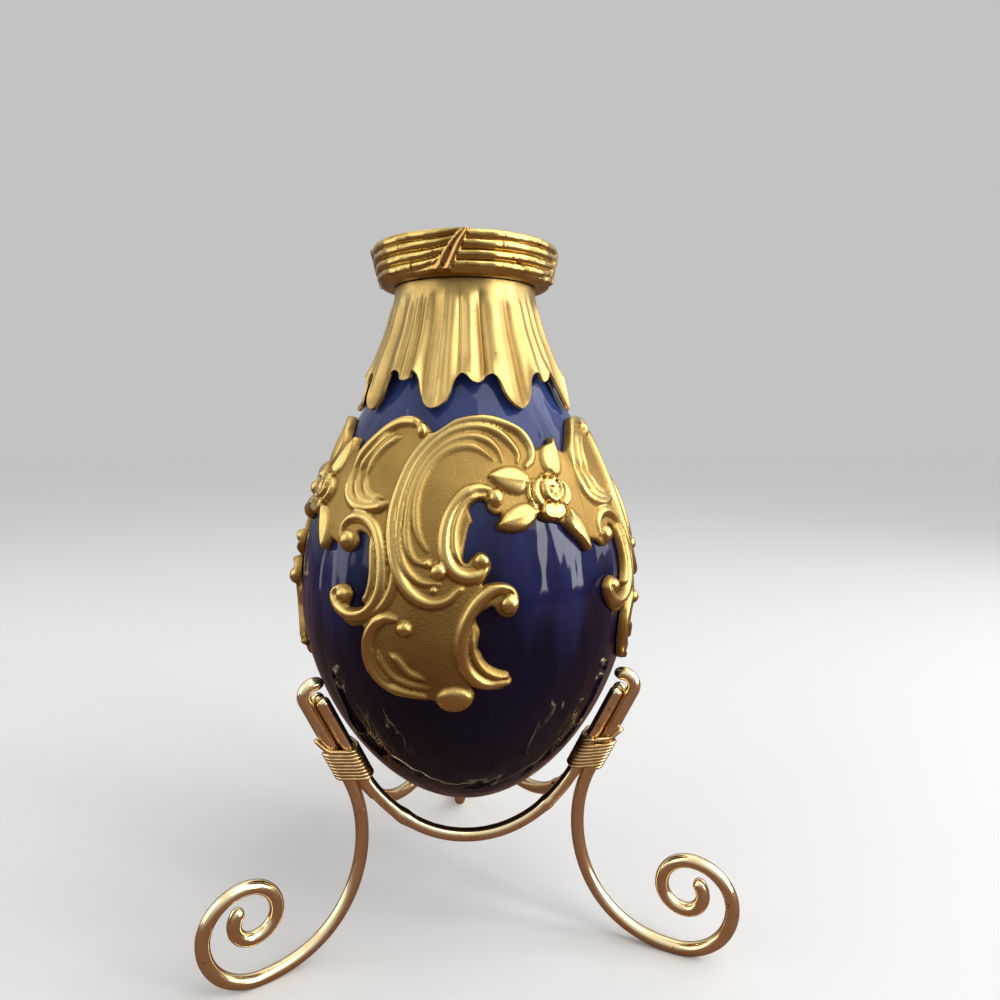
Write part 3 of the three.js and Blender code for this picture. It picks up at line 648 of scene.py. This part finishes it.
reeded, tree, shader = new_material("rubbed gilt")
spot = add_node(tree, "ShaderNodeTexCoord", {}).outputs["Object"]
on_tie = add_node(tree, "ShaderNodeAttribute", {}, attribute_name="ribbon").outputs["Fac"]
cloud = add_noise(tree, spot, scale=160, detail=5)
ground = add_ramp(tree, cloud, [(0.3, (0.5, 0.34, 0.1)), (0.72, (0.72, 0.53, 0.19))])
warm = add_ramp(tree, cloud, [(0.35, (0.45, 0.24, 0.08)), (0.7, (0.64, 0.42, 0.13))])
pits = add_noise(tree, spot, scale=520, detail=3)
pitted = add_ramp(tree, pits, [(0.64, (1, 1, 1)), (0.7, (0.26, 0.13, 0.08))])
tone = add_mix(tree, 1.0, add_mix(tree, on_tie, ground, warm), pitted, blend="MULTIPLY")
set_finish(tree, shader, tone, add_range(tree, cloud, 0.16, 0.36))
set_bump(tree, shader, pits, strength=0.2, distance=0.0004)
make_piece(ring_bm, "Rim_ring", place_vase, reeded, "vase", "rim_ring", crease=60)


# Legs
# Three legs of polished gilt rod. Each is one bent rod: a hook at the top that carries the egg,
# a straight run inside the binding, a sweep down to the floor and a scroll rolled up at the foot.
rod_radius = 1.75
rod_gap = 0.3
rod_grain = 0.5
hook_bend = 2.75
hook_turn = math.radians(165)
rod_lean = math.radians(26)
rest_height = 73
strand_foot = 26.5
sweep_pull = 20
sweep_low = 35.5
sweep_end = 61
foot_flat = 0.3
# The scroll at the foot, as bends of some radius and degrees
foot_turns = [(14, 90), (10.6, 90), (7.4, 90), (6, 90), (4.6, 90), (5, 55)]

# A hook tip lies against the glass, and the straight rods hang from it in a leaning strand of three
along_rods = np.array([math.sin(rod_lean), math.cos(rod_lean)])
out_of_rods = np.array([math.cos(rod_lean), -math.sin(rod_lean)])
strand_half_gap = rod_radius + rod_gap / 2
leg_offset = strand_half_gap * math.sqrt(3)
rest_normal = np.array([np.interp(rest_height, egg_line[:, 1], egg_normal[:, k]) for k in (0, 1)])
hook_tip = np.array([np.interp(rest_height, egg_line[:, 1], egg_line[:, 0]), rest_height])
hook_tip = hook_tip + rest_normal * (rod_radius + rod_gap)
bend_centre = hook_tip - hook_bend * (math.cos(hook_turn) * out_of_rods + math.sin(hook_turn) * along_rods)
strand_line = bend_centre + (hook_bend - leg_offset) * out_of_rods


def strand_point(run, outwards):
    """A place beside the strand as radius and height: up along its rods, and out from its swag ends."""
    return strand_line + run * along_rods + outwards * out_of_rods


def corner_point(corner, flat, sideways):
    """A radius and height turned to a corner of the stand, and moved sideways there."""
    turn = math.radians(corner)
    return np.array([
        flat[0] * math.sin(turn) + sideways * math.cos(turn),
        -flat[0] * math.cos(turn) + sideways * math.sin(turn),
        flat[1],
    ])


def rod_solid(path, radius, lumps=()):
    """A bent rod along a path, its ends rounded over, with swellings (point, amount, half length)."""
    path = np.array(path)
    steps = np.linalg.norm(np.diff(path, axis=0), axis=1)
    run = np.concatenate([[0], np.cumsum(steps)])
    fine = np.arange(0, run[-1], rod_grain)
    ends = radius * np.array([0.02, 0.1, 0.25, 0.5, 0.75])
    fine = np.unique(np.concatenate([fine, ends, run[-1] - ends, [run[-1]]]))
    spots = np.column_stack([np.interp(fine, run, path[:, k]) for k in range(3)])
    to_end = np.clip(np.minimum(fine, run[-1] - fine) / radius, 0.0004, 1)
    swell = np.sqrt(1 - (1 - to_end) ** 2)
    for place, amount, half in lumps:
        swell = swell + amount * np.exp(-((np.linalg.norm(spots - place, axis=1) / half) ** 2))
    curve = bpy.data.curves.new("rod path", "CURVE")
    curve.dimensions = "3D"
    curve.bevel_depth = radius
    curve.bevel_resolution = 8
    curve.use_fill_caps = True
    spline = curve.splines.new("POLY")
    spline.points.add(len(spots) - 1)
    for point, place, size in zip(spline.points, spots, swell):
        point.co = (*place, 1)
        point.radius = size
    holder = bpy.data.objects.new("rod path", curve)
    bpy.context.collection.objects.link(holder)
    graph = bpy.context.evaluated_depsgraph_get()
    mesh = bpy.data.meshes.new_from_object(holder.evaluated_get(graph))
    bm = bmesh.new()
    bm.from_mesh(mesh)
    bpy.data.objects.remove(holder)
    bpy.data.curves.remove(curve)
    bpy.data.meshes.remove(mesh)
    bmesh.ops.remove_doubles(bm, verts=bm.verts, dist=1e-3)
    bmesh.ops.recalc_face_normals(bm, faces=bm.faces)
    return bm


leg_line = []
for bend in np.linspace(hook_turn, 0, 25):
    leg_line.append(strand_point(hook_bend * math.sin(bend), leg_offset - hook_bend * (1 - math.cos(bend))))
leg_start = strand_point(1 - strand_foot, leg_offset)
floor_height = rod_radius - foot_flat
leg_sweep = [
    leg_start, leg_start - sweep_pull * along_rods, (sweep_low, floor_height), (sweep_end, floor_height)
]
leg_line += list(bezier(leg_sweep, count=50))
heading = 0
for radius, turn in foot_turns:
    start = leg_line[-1]
    centre = start - radius * np.array([math.sin(heading), -math.cos(heading)])
    for angle in np.radians(np.arange(5, turn + 0.1, 5)):
        leg_line.append(centre + radius * np.array([math.sin(heading + angle), -math.cos(heading + angle)]))
    heading += math.radians(turn)

rod_gilt, tree, shader = new_material("polished gilt rod")
spot = add_node(tree, "ShaderNodeTexCoord", {}).outputs["Object"]
cloud = add_noise(tree, spot, scale=130, detail=4)
ground = add_ramp(tree, cloud, [(0.3, (0.94, 0.7, 0.38)), (0.7, (1, 0.83, 0.52))])
marks = add_noise(tree, spot, scale=800, detail=3)
worn = add_ramp(tree, marks, [(0.66, (1, 1, 1)), (0.74, (0.45, 0.3, 0.2))])
tone = add_mix(tree, 1.0, ground, worn, blend="MULTIPLY")
set_finish(tree, shader, tone, add_range(tree, cloud, 0.1, 0.22))
set_bump(tree, shader, cloud, strength=0.12, distance=0.0006)

# Each foot is cut off at the floor, where the round rod is worn to a small flat
corners = {"left": -60, "right": 60, "back": 180}
for side, corner in corners.items():
    leg_bm = rod_solid([corner_point(corner, flat, 0) for flat in leg_line], rod_radius)
    cut = bmesh.ops.bisect_plane(
        leg_bm,
        geom=leg_bm.verts[:] + leg_bm.edges[:] + leg_bm.faces[:],
        dist=1e-4,
        plane_co=(0, 0, 0),
        plane_no=(0, 0, -1),
        clear_outer=True,
    )
    rim = [item for item in cut["geom_cut"] if isinstance(item, bmesh.types.BMEdge)]
    bmesh.ops.edgenet_fill(leg_bm, edges=rim)
    make_piece(leg_bm, f"Leg_{side}", place_stand, rod_gilt, "stand", f"leg_{side}")


# Swags
# Three more rods of the same gilt stock, each hanging in a bow from corner to corner under the egg.
# Their ends run up through the bindings beside the legs; each bow has two lumpy soldered joints.
swag_low = 29.4
swag_out = 19.5
swag_pull = 17
swag_end_pull = 4.5
swag_top = -0.8


def half_swag(middle, corner, sideways):
    """Half a bow, from its lowest point to a corner and up to its end beside the leg."""
    foot = corner_point(corner, strand_point(-strand_foot, 0), sideways)
    top = corner_point(corner, strand_point(swag_top, 0), sideways)
    up = (top - foot) / np.linalg.norm(top - foot)
    bottom = corner_point(middle, (swag_out, swag_low), 0)
    towards = corner_point(middle, (0, 0), math.copysign(swag_pull, corner - middle))
    return list(bezier([bottom, bottom + towards, foot - swag_end_pull * up, foot], count=40)) + [top]


swags = {"front": 0, "right": 120, "left": -120}
for side, middle in swags.items():
    right = half_swag(middle, middle + 60, -strand_half_gap)
    left = half_swag(middle, middle - 60, strand_half_gap)
    # A joint sits about half way along each side, the left one a little thicker
    lumps = [(right[20], 0.12, 1.4), (left[17], 0.16, 1.8)]
    swag_bm = rod_solid(left[::-1] + right[1:], rod_radius, lumps)
    make_piece(swag_bm, f"Swag_{side}", place_stand, rod_gilt, "stand", f"swag_{side}")


# Bindings
# Fine gilt wire wound tight round a leg and two swag ends at each corner, turn against turn.
# The turns rise aslant towards the leg, and the last one has sprung a little way up it.
wire_radius = 0.49
wire_turns = 9
wire_pitch = 1.12
wire_play = 0.15
wire_slant = 0.65
slant_middle = 2
slant_ease = 1.4
spring_lift = 3.4
spring_reach = 0.1
spring_place = 50
spring_spread = 80
binding_run = -21
wire_rods = [(leg_offset, 0), (0, strand_half_gap), (0, -strand_half_gap)]
wound_gilt, tree, shader = new_material("gilt wire")
spot = add_node(tree, "ShaderNodeTexCoord", {}).outputs["Object"]
cloud = add_noise(tree, spot, scale=380, detail=4)
ground = add_ramp(tree, cloud, [(0.3, (0.68, 0.47, 0.21)), (0.7, (0.92, 0.7, 0.39))])
set_finish(tree, shader, ground, add_range(tree, cloud, 0.16, 0.34))
for side, corner in corners.items():
    path = []
    for turn in range(wire_turns):
        for index, (outwards, sideways) in enumerate(wire_rods):
            for angle in np.linspace(-60, 60, 9):
                turned = math.radians(angle + 120 * index)
                done = turn + (index + (angle + 60) / 120) / 3
                from_spring = 360 * (done - wire_turns + 1) - spring_place
                from_spring = np.clip(from_spring, -spring_spread, spring_spread)
                spring = (1 + math.cos(math.pi * from_spring / spring_spread)) / 2
                reach = rod_radius + wire_play + wire_radius + spring_reach * spring
                out = outwards + reach * math.cos(turned)
                slope = wire_slant * ((out + math.hypot(out, slant_ease)) / 2 - slant_middle)
                run = binding_run + (done - wire_turns / 2) * wire_pitch + slope + spring_lift * spring
                flat = strand_point(run, out)
                path.append(corner_point(corner, flat, sideways + reach * math.sin(turned)))
    wire_bm = rod_solid(path, wire_radius)
    make_piece(wire_bm, f"Binding_{side}", place_stand, wound_gilt, "stand", f"binding_{side}")


# Stage
# A flat pale floor under an even pale surrounding, soft lights, and the camera where the picture was taken
# from. Reflections see the floor dark and warm, and the surrounding brighter overhead, as in a room.
floor_bm = bmesh.new()
bmesh.ops.create_grid(floor_bm, x_segments=1, y_segments=1, size=3)
floor_mesh = bpy.data.meshes.new("Floor")
floor_bm.to_mesh(floor_mesh)
floor_bm.free()
floor = bpy.data.objects.new("Floor", floor_mesh)
bpy.context.collection.objects.link(floor)
paper, tree, shader = new_material("pale paper")
rays = add_node(tree, "ShaderNodeLightPath", {})
tone = add_mix(tree, rays.outputs["Is Glossy Ray"], (0.716, 0.713, 0.711, 1), (0.16, 0.088, 0.068, 1))
tree.links.new(tone, shader.inputs["Base Color"])
shader.inputs["Roughness"].default_value = 0.9
shader.inputs["Specular IOR Level"].default_value = 0.1
floor_mesh.materials.append(paper)

world = bpy.data.worlds.new("Studio")
world.use_nodes = True
bpy.context.scene.world = world
tree = world.node_tree
rays = add_node(tree, "ShaderNodeLightPath", {})
towards = add_node(tree, "ShaderNodeTexCoord", {}).outputs["Generated"]
upwards = add_node(tree, "ShaderNodeSeparateXYZ", {"Vector": towards}).outputs["Z"]
room = add_ramp(tree, upwards, [(0.0, (0.24, 0.24, 0.24)), (0.3, (0.48, 0.48, 0.48)), (0.8, (1, 0.99, 0.97))])
tone = add_mix(tree, rays.outputs["Is Glossy Ray"], (0.42, 0.42, 0.42, 1), room)
tone = add_mix(tree, rays.outputs["Is Camera Ray"], tone, (0.548, 0.546, 0.545, 1))
tree.links.new(tone, tree.nodes["Background"].inputs["Color"])
tree.nodes["Background"].inputs["Strength"].default_value = 1

light_aim = Vector((0, 0, 0.1))


def soft_light(name, place, size, power, colour):
    lamp = bpy.data.lights.new(name, "AREA")
    lamp.shape = "RECTANGLE"
    lamp.size, lamp.size_y = size
    lamp.energy = power
    lamp.color = colour
    holder = bpy.data.objects.new(name, lamp)
    holder.location = place
    holder.rotation_euler = (light_aim - Vector(place)).to_track_quat("-Z", "Y").to_euler()
    bpy.context.collection.objects.link(holder)


day = bpy.data.lights.new("Daylight", "SUN")
day.energy = 1.3
day.angle = math.radians(55)
daylight = bpy.data.objects.new("Daylight", day)
daylight.rotation_euler = Vector((-0.65, 0.45, -1)).to_track_quat("-Z", "Y").to_euler()
bpy.context.collection.objects.link(daylight)
soft_light("Window left", (-0.75, -0.35, 0.5), (0.5, 0.7), 1.5, (1, 0.97, 0.93))
soft_light("Near pane right", (0.52, -0.47, 0.3), (0.13, 0.5), 1.7, (1, 0.98, 0.95))
soft_light("Far pane right", (0.66, -0.22, 0.3), (0.15, 0.5), 1.8, (0.97, 0.98, 1))
soft_light("Side right", (0.7, 0.15, 0.4), (0.3, 0.6), 1.2, (0.95, 0.97, 1))
soft_light("Side left", (-0.7, 0.1, 0.25), (0.25, 0.5), 0.8, (0.95, 0.97, 1))
soft_light("Overhead", (0, 0.2, 0.95), (0.9, 0.7), 1.2, (1, 1, 1))

lens = bpy.data.cameras.new("Camera")
lens.sensor_width = 36
lens.lens = 27.04
lens.clip_start = 0.01
camera = bpy.data.objects.new("Camera", lens)
camera.location = Vector((-0.01213, -0.20971, 0.138)) + vase_axis
camera.rotation_euler = (math.radians(84.3), 0, vase_turn)
bpy.context.collection.objects.link(camera)
bpy.context.scene.camera = camera
bpy.context.scene.view_settings.view_transform = "Standard"
